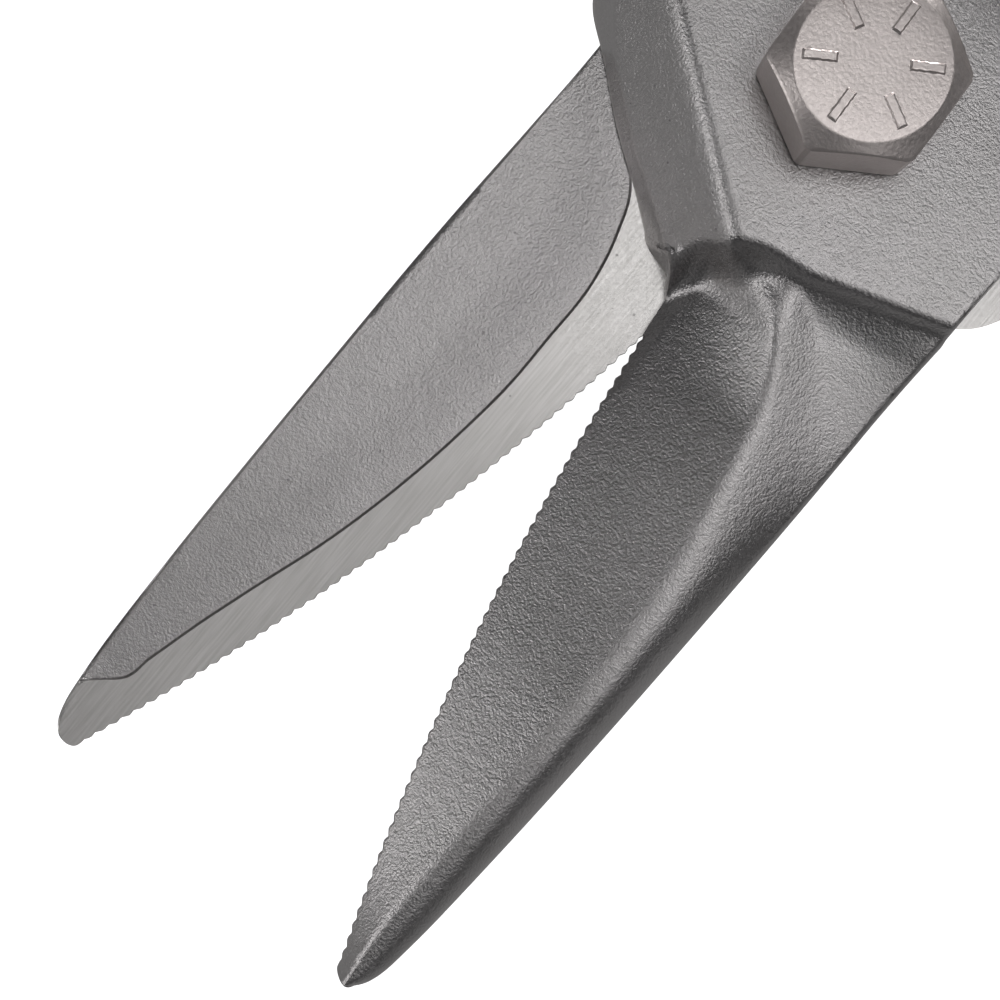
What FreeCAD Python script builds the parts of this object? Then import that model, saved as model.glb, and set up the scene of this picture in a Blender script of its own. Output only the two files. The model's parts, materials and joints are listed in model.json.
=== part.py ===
import FreeCAD, Part
import math
import os
import re
import Sketcher
from FreeCAD import Placement, Rotation, Vector

# Compound-action snips, resting open, in millimetres.
#
# +Y runs forward to the blade tips, +Z up to the pivot bolt's head. The pivot bolt's axis is X = Y = 0 and
# the origin lies on the outer face of its nut. Every sub-part is modelled about the shear plane, the plane
# in which the two blades meet, and then lifted by shear_level.
#
# The front blade lies over the shear plane with its point left of the middle and its tang on the right.
# The rear blade is the same forging turned over. Two pressed channel handles hold the tangs and join each
# other in front, so the four pivots make a kite: blade pivot, two tang pivots, link pivot.

DIMENSIONS = [
    ("shear_level", 12.8, "shear plane above the nut's outer face"),
    ("running_gap", 0.03, "clearance between faces that slide on each other"),
    ("shaft_gap", 0.05, "radial clearance of a turning shaft"),
    ("tang_length", 54.0, "blade pivot to tang pivot"),
    ("link_length", 32.0, "link pivot to tang pivot"),
    ("closed_angle", 15.0, "tang's angle from the middle line, tool shut"),
    ("open_angle", 25.35, "tang's angle from the middle line, tool open"),
    ("blade_thickness", 7.0, "forging's thickness at the pivot boss"),
    ("edge_radius", 196.0, "plan radius of the cutting edge"),
    ("heel_x", 0.4, "cutting edge's heel"),
    ("heel_y", 17.0, "cutting edge's heel"),
    ("tip_x", -11.7, "cutting edge's end"),
    ("tip_y", 66.3, "cutting edge's end"),
    ("edge_land", 0.9, "height of the upright face at the cutting edge"),
    ("ridge_heel", 6.3, "ridge's height where it leaves the boss"),
    ("ridge_tip", 1.6, "ridge's height at the point"),
    ("spine_x", -15.0, "spine's foot"),
    ("relief_depth", 0.35, "hollow in the shear face behind the ground land"),
    ("tooth_pitch", 0.95, "serrations along the edge"),
    ("tooth_depth", 0.2, "serrations into the edge"),
    ("boss_radius", 15.4, "pivot boss"),
    ("bevel_width", 1.9, "pivot boss's side slope in plan"),
    ("tang_top", 4.8, "tang's upper face at its pivot"),
    ("tang_low", -2.2, "tang's lower face at its pivot"),
    ("eye_radius", 8.5, "tang's round end"),
    ("ear_relief", 7.7, "hollow in the tang round the handles' ears"),
    ("bolt_radius", 3.175, "quarter-inch pivot bolt"),
    ("hex_flats", 11.11, "across flats of bolt head and nut"),
    ("head_height", 5.0, "bolt head"),
    ("head_flat_radius", 4.83, "flat top inside the bolt head's chamfer"),
    ("head_turn", 33.5, "direction of a corner of the bolt head"),
    ("bar_height", 0.15, "raised grade bars on the bolt head"),
    ("bar_inner", 2.3, "grade bars' inner end"),
    ("bar_outer", 4.25, "grade bars' outer end"),
    ("bar_width", 0.45, "grade bars' width"),
    ("washer_thickness", 1.2, "washer under the nut"),
    ("washer_radius", 8.0, "washer under the nut"),
    ("insert_radius", 4.4, "nut's locking ring"),
    ("insert_height", 1.3, "nut's locking ring"),
    ("end_recess", 0.35, "bolt's end and locking ring below the nut's face"),
    ("sheet", 2.0, "handle's sheet steel"),
    ("channel_gap", 9.0, "between the cheeks of one handle"),
    ("channel_top", 7.8, "upper cheek's outer face, front handle"),
    ("ear_radius", 7.0, "handle's round end at the link pivot"),
    ("cheek_radius", 9.3, "handle's round at the tang pivot"),
    ("rivet_radius", 3.0, "tang rivets and link rivet"),
    ("rivet_head", 4.6, "rivet heads"),
    ("rivet_dome", 1.5, "rivet heads' height"),
    ("open_pivot_gap", 0.3, "radial clearance in the rear tang"),
    ("bush_radius", 4.6, "spacer between the ears"),
    ("shim_radius", 6.0, "washers at the pivots"),
    ("spring_distance", 50.0, "return spring's arc about the link pivot"),
    ("spring_radius", 4.5, "return spring, outside"),
    ("spring_wire", 1.2, "return spring's wire"),
    ("seat_radius", 5.4, "spring seat's disc"),
    ("seat_disc", 1.5, "spring seat's disc"),
    ("latch_x", 13.5, "latch pivot, tool shut"),
    ("latch_y", -63.0, "latch pivot, tool shut"),
    ("latch_swing", 95.0, "latch, from its parked place to the keeper"),
    ("latch_plate", 1.8, "latch lever's thickness"),
    ("latch_lift", 0.5, "washer under the latch lever"),
    ("latch_pin", 2.0, "latch rivet"),
    ("keeper_radius", 2.2, "keeper stud"),
    ("hook_gap", 0.35, "between the keeper and the latch's slot"),
    ("grip_wall", 2.6, "moulded sleeve's wall"),
    ("grip_start", -97.0, "front end of the sleeves, tool shut"),
    ("handle_end", -184.0, "rear end of the handles' steel, tool shut"),
]

document = FreeCAD.newDocument("CompoundSnips")
sheet = document.addObject("Spreadsheet::Sheet", "Dimensions")
for row, (alias, number, note) in enumerate(DIMENSIONS, start=1):
    sheet.set(f"A{row}", note)
    sheet.set(f"B{row}", str(number))
    sheet.setAlias(f"B{row}", alias)
document.recompute()

ALIASES = {alias for alias, number, note in DIMENSIONS}


def size(alias):
    """A driving dimension, read from the sheet."""
    return float(getattr(sheet, alias))


def bound(text):
    """The expression text with each alias pointed at the sheet."""
    return re.sub(r"[a-z_]+", lambda word: "Dimensions." + word[0] if word[0] in ALIASES else word[0], text)


def bind(target, **expressions):
    """Bind properties of an object to expressions of the sheet's aliases."""
    for name, text in expressions.items():
        target.setExpression(name, bound(text))
    return target


# ---------------------------------------------------------------- where the four pivots lie

TANG, LINK = size("tang_length"), size("link_length")


def kite(tang_angle):
    """Front tang pivot, link pivot and the handle's angle, for a tang angle in degrees."""
    lean = math.radians(tang_angle)
    side, back = TANG * math.sin(lean), TANG * math.cos(lean)
    handle = math.asin(side / LINK)
    return Vector(side, -back, 0), Vector(0, LINK * math.cos(handle) - back, 0), math.degrees(handle)


TANG_PIVOT, LINK_PIVOT, OPEN_HANDLE = kite(size("open_angle"))
SHUT_TANG_PIVOT, SHUT_LINK_PIVOT, SHUT_HANDLE = kite(size("closed_angle"))
HANDLE_SWING = OPEN_HANDLE - SHUT_HANDLE
BLADE_SWING = size("open_angle") - size("closed_angle")
Z_AXIS, Y_AXIS = Vector(0, 0, 1), Vector(0, 1, 0)
LIFT = Vector(0, 0, size("shear_level"))
TURNED_OVER = Rotation(Y_AXIS, 180)

FRONT_BLADE_PLACE = Placement(LIFT, Rotation())
REAR_BLADE_PLACE = Placement(LIFT, TURNED_OVER)
FRONT_HANDLE_PLACE = Placement(LINK_PIVOT + LIFT, Rotation(Z_AXIS, HANDLE_SWING))
REAR_HANDLE_PLACE = Placement(LINK_PIVOT + LIFT, Rotation(Z_AXIS, -HANDLE_SWING) * TURNED_OVER)


def shut(x, y, z=0.0):
    """A place on the front handle, given with the tool shut, from the link pivot."""
    return Vector(x, y, z) - SHUT_LINK_PIVOT


# ---------------------------------------------------------------- small builders

def prism(points, low, high):
    """A plate with a straight-sided outline."""
    corners = [Vector(x, y, low) for x, y in points]
    face = Part.Face(Part.makePolygon(corners + corners[:1]))
    return face.extrude(Vector(0, 0, high - low))


def rod(radius, low, high, x=0.0, y=0.0):
    return Part.makeCylinder(radius, high - low, Vector(x, y, low))


def feature(label, shape, place):
    """A sub-part whose shape is worked out in code; place comes on top of any turn the shape already has."""
    item = document.addObject("Part::Feature", label)
    item.Shape = shape
    item.Placement = place.multiply(shape.Placement)
    return item


def turned(label, profile, place):
    """A body turned about Z, from (radius, height) expressions round its half section."""
    body = document.addObject("PartDesign::Body", label)
    sketch = body.newObject("Sketcher::SketchObject", label + "_section")
    plane = [face for face in body.Origin.OriginFeatures if face.Role == "XZ_Plane"][0]
    sketch.AttachmentSupport = [(plane, "")]
    sketch.MapMode = "FlatFace"
    spots = [tuple(float(sheet.evalExpression(text)) for text in pair) for pair in profile]
    for (x, y), (next_x, next_y) in zip(spots, spots[1:] + spots[:1]):
        sketch.addGeometry(Part.LineSegment(Vector(x, y, 0), Vector(next_x, next_y, 0)), False)
    for index, (spot, texts) in enumerate(zip(spots, profile)):
        sketch.addConstraint(Sketcher.Constraint("Coincident", index, 2, (index + 1) % len(spots), 1))
        for direction, start, text in zip(("DistanceX", "DistanceY"), spot, texts):
            number = sketch.addConstraint(Sketcher.Constraint(direction, index, 1, start))
            sketch.setExpression(f"Constraints[{number}]", bound(text))
    revolution = body.newObject("PartDesign::Revolution", label + "_turning")
    revolution.Profile = sketch
    revolution.ReferenceAxis = (sketch, ["V_Axis"])
    revolution.Angle = 360
    sketch.Visibility = False
    body.Placement = place
    return body


def ring(name, outer, inner, low, high):
    """A flat ring about Z, from expressions of the sheet."""
    disc = bind(document.addObject("Part::Cylinder", name + "_disc"), Radius=outer, Height=f"{high} - ({low})")
    hole = bind(document.addObject("Part::Cylinder", name + "_hole"), Radius=inner, Height=f"{high} - ({low}) + 2")
    disc.setExpression("Placement.Base.z", bound(low))
    hole.setExpression("Placement.Base.z", bound(f"{low} - 1"))
    cut = document.addObject("Part::Cut", name)
    cut.Base, cut.Tool = disc, hole
    return cut


def ring_pair(label, outer, inner, spans, place):
    """Two like rings in one node."""
    pair = document.addObject("Part::Compound", label)
    pair.Links = [ring(f"{label}_{index}", outer, inner, *span) for index, span in enumerate(spans)]
    pair.Placement = place
    return pair


def hexagon(name, low, height):
    """A six-sided bar about Z with a corner towards head_turn."""
    bar = document.addObject("Part::Prism", name)
    bar.Polygon = 6
    bar.Placement = Placement(Vector(0, 0, 0), Rotation(Z_AXIS, size("head_turn")))
    bind(bar, Circumradius="hex_flats / sqrt(3)", Height=height)
    bar.setExpression("Placement.Base.z", bound(low))
    return bar


def rivet(label, radius, head, dome, low, high, place):
    """A rivet with two low domed heads; its shank runs from low to high."""
    profile = [("0", f"{low} - {dome}"), (f"{head} * 0.55", f"{low} - {dome}"), (f"{head} * 0.88", f"{low} - {dome} * 0.6"),
               (head, f"{low} - {dome} * 0.15"), (head, low), (radius, low), (radius, high), (head, high),
               (head, f"{high} + {dome} * 0.15"), (f"{head} * 0.88", f"{high} + {dome} * 0.6"),
               (f"{head} * 0.55", f"{high} + {dome}"), ("0", f"{high} + {dome}")]
    return turned(label, profile, place)


# ---------------------------------------------------------------- blades

# Ridge of the forging, from the boss to the point: (x, y).
RIDGE = [(-4.6, 12.0), (-8.6, 17.5), (-10.3, 24.0), (-11.6, 32.0), (-11.9, 42.0), (-11.9, 54.0), (-12.4, 66.5)]
# Outline of the ground land on the shear face, from the boss to the point: (x, y).
LAND = [(-7.6, 11.5), (-5.1, 18.3), (-4.8, 26.0), (-5.9, 37.5), (-8.2, 47.5), (-11.5, 58.3), (-14.2, 62.5)]
# Tang, from the boss back to its pivot: (y, inner x, outer x, lower z, upper z).
TANG_STATIONS = [(-4.0, 5.0, 18.9, 0.0, 7.0), (-9.0, 7.0, 20.4, 0.0, 6.8), (-18.0, 9.5, 22.9, 0.0, 5.5),
                 (-26.0, 11.0, 25.3, -0.6, 5.2), (-34.0, 12.6, 27.7, -2.2, 4.8), (-48.8, 14.8, 31.5, -2.2, 4.8)]


def edge_centre():
    """Centre of the cutting edge's arc, on the spine side."""
    heel = Vector(size("heel_x"), size("heel_y"), 0)
    tip = Vector(size("tip_x"), size("tip_y"), 0)
    chord = tip - heel
    reach = math.sqrt(size("edge_radius") ** 2 - (chord.Length / 2) ** 2)
    return (heel + tip) * 0.5 + Vector(-chord.y, chord.x, 0).normalize() * reach


EDGE_CENTRE = edge_centre()


def edge_x(y):
    return EDGE_CENTRE.x + math.sqrt(size("edge_radius") ** 2 - (y - EDGE_CENTRE.y) ** 2)


def blade_section(ridge_x, y):
    """Half-wedge section of the blade: edge, ridge, spine."""
    along = (y - RIDGE[0][1]) / (RIDGE[-1][1] - RIDGE[0][1])
    ridge_z = size("ridge_heel") + (size("ridge_tip") - size("ridge_heel")) * along
    rim_z = 0.5 * ridge_z + 0.2
    spine = size("spine_x") + 1.2 * max(0.0, along - 0.35) ** 2 * 2.4
    floor = size("running_gap") / 2
    corners = [(edge_x(y), floor), (edge_x(y), size("edge_land")), (ridge_x, ridge_z), (spine - 0.1, rim_z),
               (spine - 0.55, rim_z * 0.6), (spine, floor)]
    points = [Vector(x, y, z) for x, z in corners]
    return Part.makePolygon(points + points[:1])


def tip_envelope():
    """Plan of the blade's rounded point, as a tall block that holds all the rest of the blade."""
    start, top, end = Vector(size("tip_x"), size("tip_y"), -1), Vector(-12.5, 66.9, -1), Vector(-13.5, 65.7, -1)
    shoulder, far, near, side = Vector(-14.7, 62.0, -1), Vector(-18, 50, -1), Vector(-18, 5, -1), Vector(12, 5, -1)
    edges = [Part.Arc(start, top, end).toShape()]
    corners = [end, shoulder, far, near, side, Vector(12, size("tip_y"), -1), start]
    edges += [Part.makeLine(a, b) for a, b in zip(corners, corners[1:])]
    return Part.Face(Part.Wire(edges)).extrude(Vector(0, 0, 12))


def boss():
    """Pivot boss: an upright rim, then sloping sides up to the flat top."""
    # (x, y) round the tang side and the front: rim, then the flat top above it
    corners = [((-15.2, 6.0), (-13.3, 4.5)), ((-15.4, 11.0), (-13.6, 8.2)), ((-7.6, 13.6), (-7.5, 10.3)),
               ((1.4, 15.6), (-1.4, 12.5)), ((8.8, 10.7), (4.3, 8.1)), ((16.4, 3.9), (10.2, 4.0)),
               ((20.2, -8.0), (15.6, -8.0)), ((10.5, -14.0), (9.0, -12.0))]
    top_radius = size("boss_radius") - size("bevel_width")
    for angle in range(285, 180, -15):
        way = Vector(math.cos(math.radians(angle)), math.sin(math.radians(angle)), 0)
        rim, top = way * size("boss_radius"), way * top_radius
        corners.append(((rim.x, rim.y), (top.x, top.y)))
    rim_height = 1.6
    rim = [Vector(x, y, rim_height) for (x, y), top in corners]
    top = [Vector(x, y, size("blade_thickness")) for lower, (x, y) in corners]
    slope = Part.makeLoft([Part.makePolygon(rim + rim[:1]), Part.makePolygon(top + top[:1])], True, True)
    return prism([lower for lower, upper in corners], size("running_gap") / 2, rim_height).fuse(slope)


def tang():
    """Tang from the boss to the eye; it steps down so that both tangs run in the middle of the handles."""
    wires = []
    for y, inner, outer, low, high in TANG_STATIONS:
        low = max(low, size("running_gap") / 2) if y > -20 else low
        corners = [(inner, low), (outer, low), (outer, high - 2.6), (outer - 2.6, high), (inner, high)]
        points = [Vector(x, y, z) for x, z in corners]
        wires.append(Part.makePolygon(points + points[:1]))
    eye = rod(size("eye_radius"), size("tang_low"), size("tang_top"), TANG_PIVOT.x, TANG_PIVOT.y)
    return Part.makeLoft(wires, True, True).fuse(eye)


def relief():
    """Hollow in the shear face, from the land's outline out past the spine."""
    land = [Vector(x, y, -1) for x, y in LAND]
    curve = Part.BSplineCurve()
    curve.interpolate(land)
    corners = [land[-1], Vector(-20, land[-1].y, -1), Vector(-20, land[0].y, -1), land[0]]
    edges = [curve.toShape()] + [Part.makeLine(a, b) for a, b in zip(corners, corners[1:])]
    return Part.Face(Part.Wire(edges)).extrude(Vector(0, 0, 1 + size("relief_depth")))


def serrations():
    """One three-sided notch for each tooth gap along the cutting edge."""
    radius, pitch, depth = size("edge_radius"), size("tooth_pitch"), size("tooth_depth")
    heel_angle = math.asin((size("heel_y") + 3.0 - EDGE_CENTRE.y) / radius)
    tip_angle = math.asin((size("tip_y") - 1.0 - EDGE_CENTRE.y) / radius)
    count = int((tip_angle - heel_angle) * radius / pitch)
    notches = []
    for number in range(count):
        angle = heel_angle + number * pitch / radius
        outward = Vector(math.cos(angle), math.sin(angle), 0)
        along = Vector(-outward.y, outward.x, 0)
        root = EDGE_CENTRE + outward * (radius - depth)
        mouth = EDGE_CENTRE + outward * (radius + depth)
        ends = [root, mouth + along * pitch * 0.8, mouth - along * pitch * 0.8]
        notches.append(prism([(point.x, point.y) for point in ends], -0.5, 3.0))
    return notches


def forging(pivot_hole, tang_hole, tang_shift):
    """One blade, as the front blade lies. The rear blade is the same piece turned over."""
    wires = [blade_section(x, y) for x, y in RIDGE]
    blade = Part.makeLoft(wires, True, False).common(tip_envelope())
    body = blade.fuse([boss(), tang()]).removeSplitter()
    ear = Rotation(Z_AXIS, BLADE_SWING).multVec(SHUT_LINK_PIVOT)
    holes = [rod(pivot_hole, -10, 10), rod(tang_hole, -10, 10, TANG_PIVOT.x + tang_shift, TANG_PIVOT.y),
             rod(size("ear_relief"), -10, 10, ear.x, ear.y), relief()]
    return body.cut(holes + serrations())


feature("front_blade", forging(size("bolt_radius"), size("rivet_radius") + size("shaft_gap"), 0.0), FRONT_BLADE_PLACE)
# A tree of joints with steady ratios follows the kite to 0.22 mm, and the shift centres that error.
feature("rear_blade", forging(size("bolt_radius") + size("shaft_gap"), size("rivet_radius") + size("open_pivot_gap"),
                              0.22), REAR_BLADE_PLACE)


# ---------------------------------------------------------------- pivot bolt, washer, nut

def pivot_bolt():
    """Hexagon bolt with a chamfered head, a washer face and six raised bars."""
    top = "blade_thickness + head_height"
    hexagonal = hexagon("bolt_hexagon", "blade_thickness + 0.3", "head_height - 0.3")
    chamfer = bind(document.addObject("Part::Cone", "bolt_chamfer"), Radius2="head_flat_radius",
                   Radius1="head_flat_radius + head_height * tan(60)", Height="head_height")
    chamfer.setExpression("Placement.Base.z", bound("blade_thickness"))
    head = document.addObject("Part::Common", "bolt_head")
    head.Base, head.Tool = hexagonal, chamfer
    collar = bind(document.addObject("Part::Cylinder", "bolt_collar"), Radius="hex_flats * 0.47", Height="0.4")
    collar.setExpression("Placement.Base.z", bound("blade_thickness"))
    shank = bind(document.addObject("Part::Cylinder", "bolt_shank"), Radius="bolt_radius",
                 Height="blade_thickness + shear_level - end_recess + 1")
    shank.setExpression("Placement.Base.z", bound("end_recess - shear_level"))
    bars = []
    for number in range(6):
        bar = bind(document.addObject("Part::Box", f"grade_bar_{number}"), Length="bar_outer - bar_inner",
                   Width="bar_width", Height="bar_height * 2")
        turn = Rotation(Z_AXIS, size("head_turn") + 60 * number)
        start = turn.multVec(Vector(size("bar_inner"), -size("bar_width") / 2, 0))
        bar.Placement = Placement(start, turn)
        bar.setExpression("Placement.Base.z", bound(f"{top} - bar_height"))
        bars.append(bar)
    bolt = document.addObject("Part::MultiFuse", "pivot_bolt")
    bolt.Shapes = [head, collar, shank] + bars
    bolt.Placement = Placement(LIFT, Rotation())
    return bolt


def pivot_nut():
    """Hexagon lock nut, chamfered at both ends, with a seat for its locking ring."""
    washer_low = "running_gap + blade_thickness + washer_thickness"
    bar = hexagon("nut_hexagon", "-shear_level", f"shear_level - ({washer_low})")
    turning = turned("nut_turning", [("bolt_radius", f"-({washer_low})"), ("hex_flats * 0.5", f"-({washer_low})"),
                                     ("hex_flats * 0.6", f"-({washer_low}) - hex_flats * 0.06"),
                                     ("hex_flats * 0.6", "hex_flats * 0.06 - shear_level"),
                                     ("hex_flats * 0.5", "-shear_level"), ("insert_radius", "-shear_level"),
                                     ("insert_radius", "insert_height - shear_level"),
                                     ("bolt_radius", "insert_height - shear_level")], Placement())
    nut = document.addObject("Part::Common", "pivot_nut")
    nut.Base, nut.Tool = bar, turning
    nut.Placement = Placement(LIFT, Rotation())
    return nut


pivot_bolt()
pivot_nut()
washer = ring("pivot_washer", "washer_radius", "bolt_radius", "-(running_gap + blade_thickness + washer_thickness)",
              "-(running_gap + blade_thickness)")
washer.Placement = Placement(LIFT, Rotation())
insert = ring("nut_insert", "insert_radius", "bolt_radius", "end_recess - shear_level", "insert_height - shear_level")
insert.Placement = Placement(LIFT, Rotation())


# ---------------------------------------------------------------- handles

# Handle's edges behind the tang pivot, tool shut: (x, y).
OUTER_EDGE = [(23.3, -52.0), (26.2, -64.0), (29.4, -86.0), (30.4, -112.0), (28.4, -148.0), (23.0, -184.0)]
INNER_EDGE = [(5.2, -49.5), (7.6, -62.0), (11.0, -84.0), (13.2, -112.0), (12.2, -148.0), (7.6, -184.0)]
WEB_START = -63.0      # the web begins here, behind the tang's eye
REACH = 60.0           # past every side of a handle


def spline(points, z):
    curve = Part.BSplineCurve()
    curve.interpolate([shut(x, y, z) for x, y in points])
    return curve.toShape()


def between(left, right, low, high):
    """A plate between two curved edges that run the same way."""
    first, second = spline(left, low), spline(right, low)
    ends = [Part.makeLine(shut(*left[index], low), shut(*right[index], low)) for index in (0, -1)]
    return Part.Face(Part.Wire(Part.sortEdges([first, second] + ends)[0])).extrude(Vector(0, 0, high - low))


def cheek(low, high):
    """One cheek of a handle: ear at the link pivot, round at the tang pivot, long shaped plate behind."""
    pivot = shut(SHUT_TANG_PIVOT.x, SHUT_TANG_PIVOT.y)
    way = Vector(pivot).normalize()
    side = Vector(-way.y, way.x, 0)
    ear, eye = size("ear_radius"), size("cheek_radius")
    corners = [side * ear, pivot + side * eye, pivot - side * eye, side * -ear]
    arm = prism([(corner.x, corner.y) for corner in corners], low, high)
    plate = between(OUTER_EDGE, INNER_EDGE, low, high)
    return plate.fuse([arm, rod(ear, low, high), rod(eye, low, high, pivot.x, pivot.y)]).removeSplitter()


def channel(link_hole, latch_hole_span):
    """A pressed handle: two cheeks and the web that joins them along the palm side."""
    top, thick = size("channel_top"), size("sheet")
    low = top - size("channel_gap") - 2 * thick
    wall = [(x - thick, y) for x, y in OUTER_EDGE]
    beyond = [(x - REACH, y) for x, y in OUTER_EDGE]
    hollow = between(wall, beyond, low + thick, top - thick)
    front = Part.makeBox(2 * REACH, 2 * REACH, top - low - 2 * thick, shut(-REACH, WEB_START, low + thick))
    pivot = shut(SHUT_TANG_PIVOT.x, SHUT_TANG_PIVOT.y)
    latch = shut(size("latch_x"), size("latch_y"))
    holes = [rod(link_hole, -20, 20), rod(size("rivet_radius"), -20, 20, pivot.x, pivot.y),
             rod(size("latch_pin"), *latch_hole_span, latch.x, latch.y)]
    return cheek(low, top).cut([hollow, front] + holes)


feature("front_handle", channel(size("rivet_radius"), (4, 10)), FRONT_HANDLE_PLACE)
feature("rear_handle", channel(size("rivet_radius") + size("shaft_gap"), (-8, -2)), REAR_HANDLE_PLACE)


def sleeve():
    """Vinyl moulded on the handle: a rounded body that also fills the channel, with a guard in front."""
    wall, start, end = size("grip_wall"), size("grip_start"), size("handle_end")
    top = size("channel_top")
    low = top - size("channel_gap") - 2 * size("sheet")
    outside = [(33.0, start), (32.3, start - 10), (33.0, start - 24), (31.2, start - 50), (25.4, end - 3)]
    inside = [(8.4, start), (9.4, start - 10), (10.5, start - 24), (9.8, start - 50), (4.9, end - 3)]
    skin = between(outside, inside, low - wall, top + wall)
    long_edges = [edge for edge in skin.Edges if edge.Length > 60]
    skin = skin.makeFillet(4.0, long_edges)
    return skin.cut(channel(1.0, (30, 31)))


feature("front_grip", sleeve(), FRONT_HANDLE_PLACE)
feature("rear_grip", sleeve(), REAR_HANDLE_PLACE)


# ---------------------------------------------------------------- rivets, bush, washers

FRONT_TANG_PLACE = Placement(TANG_PIVOT + LIFT, Rotation())
REAR_TANG_PLACE = Placement(Vector(-TANG_PIVOT.x, TANG_PIVOT.y, 0) + LIFT, TURNED_OVER)
LINK_PLACE = Placement(LINK_PIVOT + LIFT, Rotation())
CHANNEL_LOW = "channel_top - channel_gap - 2 * sheet"

for side, place in (("front", FRONT_TANG_PLACE), ("rear", REAR_TANG_PLACE)):
    rivet(f"{side}_tang_rivet", "rivet_radius", "rivet_head", "rivet_dome", CHANNEL_LOW, "channel_top", place)
    ring_pair(f"{side}_tang_washers", "shim_radius", "rivet_radius",
              [("tang_top + running_gap", "channel_top - sheet"), (f"{CHANNEL_LOW} + sheet", "tang_low - running_gap")],
              place)

rivet("link_rivet", "rivet_radius", "rivet_head", "rivet_dome", "-channel_top - running_gap", "channel_top", LINK_PLACE)
bush = ring("link_bush", "bush_radius", "rivet_radius", f"{CHANNEL_LOW} + sheet", f"-({CHANNEL_LOW} + sheet) - running_gap")
bush.Placement = LINK_PLACE
ring_pair("link_washers", "shim_radius", "rivet_radius",
          [(f"-({CHANNEL_LOW}) + running_gap", "channel_top - sheet"),
           ("sheet - channel_top + running_gap", CHANNEL_LOW)], LINK_PLACE)


# ---------------------------------------------------------------- return spring and its seats

def mouth_angle():
    """Angle from the middle line to the handle's inner edge where the spring meets it, tool shut."""
    distance = size("spring_distance")
    steps = 400
    edge = spline(INNER_EDGE, 0).discretize(steps)
    nearest = min(edge, key=lambda point: abs(point.Length - distance))
    return math.atan2(nearest.x, -nearest.y)


MOUTH = mouth_angle()


def spring_seat():
    """Disc across the channel's mouth with a spigot for the spring and a block in the channel."""
    distance, disc = size("spring_distance"), size("seat_disc")
    top, low = size("channel_top") - size("sheet"), size("channel_top") - size("channel_gap") - size("sheet")
    plate = Part.makeCylinder(size("seat_radius"), disc, Vector(), Vector(-1, 0, 0))
    spigot = Part.makeCylinder(size("spring_radius") - size("spring_wire") - 0.3, 4.5, Vector(), Vector(-1, 0, 0))
    block = Part.makeBox(13.0, 7.0, top - low, Vector(-0.01, -3.5, low))
    seat = plate.fuse([spigot, block]).removeSplitter()
    seat.rotate(Vector(), Z_AXIS, math.degrees(MOUTH))
    seat.translate(Vector(math.sin(MOUTH), -math.cos(MOUTH), 0) * distance)
    return seat.cut(channel(1.0, (30, 31)))


def return_spring():
    """Bow-shaped envelope of the coil spring, from seat to seat, with the coil's bore through it."""
    distance, radius = size("spring_distance"), size("spring_radius")
    half = math.degrees(MOUTH) + HANDLE_SWING - math.degrees((size("seat_disc") + 0.25) / distance)
    solid = Part.makeTorus(distance, radius, Vector(), Z_AXIS, 0, 360, 2 * half)
    bore = Part.makeTorus(distance, radius - size("spring_wire"), Vector(), Z_AXIS, 0, 360, 2 * half)
    tube = solid.cut(bore)
    tube.rotate(Vector(), Z_AXIS, -90 - half)
    return tube


feature("front_spring_seat", spring_seat(), FRONT_HANDLE_PLACE)
feature("rear_spring_seat", spring_seat(), REAR_HANDLE_PLACE)
feature("return_spring", return_spring(), LINK_PLACE)


# ---------------------------------------------------------------- latch

LATCH = shut(size("latch_x"), size("latch_y"))
LATCH_ARM = 2 * size("latch_x")


def latch_lever():
    """Flat hook on the front handle, drawn in its parked place; the hook is open on its leading side."""
    low = size("channel_top") + size("latch_lift") + size("running_gap")
    high = low + size("latch_plate")
    slot = size("keeper_radius") + size("hook_gap")
    bar = prism([(0, -3.2), (LATCH_ARM - 2, -3.6), (LATCH_ARM - 2, 3.6), (0, 3.2)], low, high)
    head = rod(5.4, low, high, LATCH_ARM, 0)
    tab = Part.makeBox(9.0, 1.6, 3.4 + size("latch_plate"), Vector(9.0, 3.0, low))
    lever = bar.fuse([head, rod(4.4, low, high), tab]).removeSplitter()
    ring_slot = Part.makeCylinder(LATCH_ARM + slot, 6, Vector(0, 0, low - 1), Z_AXIS, 30)
    ring_slot = ring_slot.cut(Part.makeCylinder(LATCH_ARM - slot, 8, Vector(0, 0, low - 2)))
    ring_slot.rotate(Vector(), Z_AXIS, -30)
    lever = lever.cut([ring_slot, rod(slot, low - 1, high + 1, LATCH_ARM, 0),
                       rod(size("latch_pin") + size("shaft_gap"), low - 1, high + 1)])
    lever.rotate(Vector(), Z_AXIS, 180 + size("latch_swing"))
    lever.translate(LATCH)
    return lever


def on_handle(place, x, y):
    """Place of a fitting at (x, y) on a handle, tool shut."""
    return place.multiply(Placement(shut(x, y), Rotation()))


feature("latch_lever", latch_lever(), FRONT_HANDLE_PLACE)
FRONT_LATCH_PLACE = on_handle(FRONT_HANDLE_PLACE, size("latch_x"), size("latch_y"))
LEVER_TOP = "channel_top + latch_lift + latch_plate + 2 * running_gap"
turned("latch_rivet", [("0", "channel_top - sheet - 0.8"), ("latch_pin + 0.8", "channel_top - sheet - 0.8"),
                       ("latch_pin + 0.8", "channel_top - sheet"), ("latch_pin", "channel_top - sheet"),
                       ("latch_pin", LEVER_TOP), ("latch_pin * 1.9", LEVER_TOP),
                       ("latch_pin * 1.9", f"{LEVER_TOP} + 0.5"), ("latch_pin * 1.2", f"{LEVER_TOP} + 1.2"),
                       ("0", f"{LEVER_TOP} + 1.2")], FRONT_LATCH_PLACE)
spacer = ring("latch_washer", "latch_pin * 2", "latch_pin", "channel_top", "channel_top + latch_lift")
spacer.Placement = FRONT_LATCH_PLACE

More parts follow.
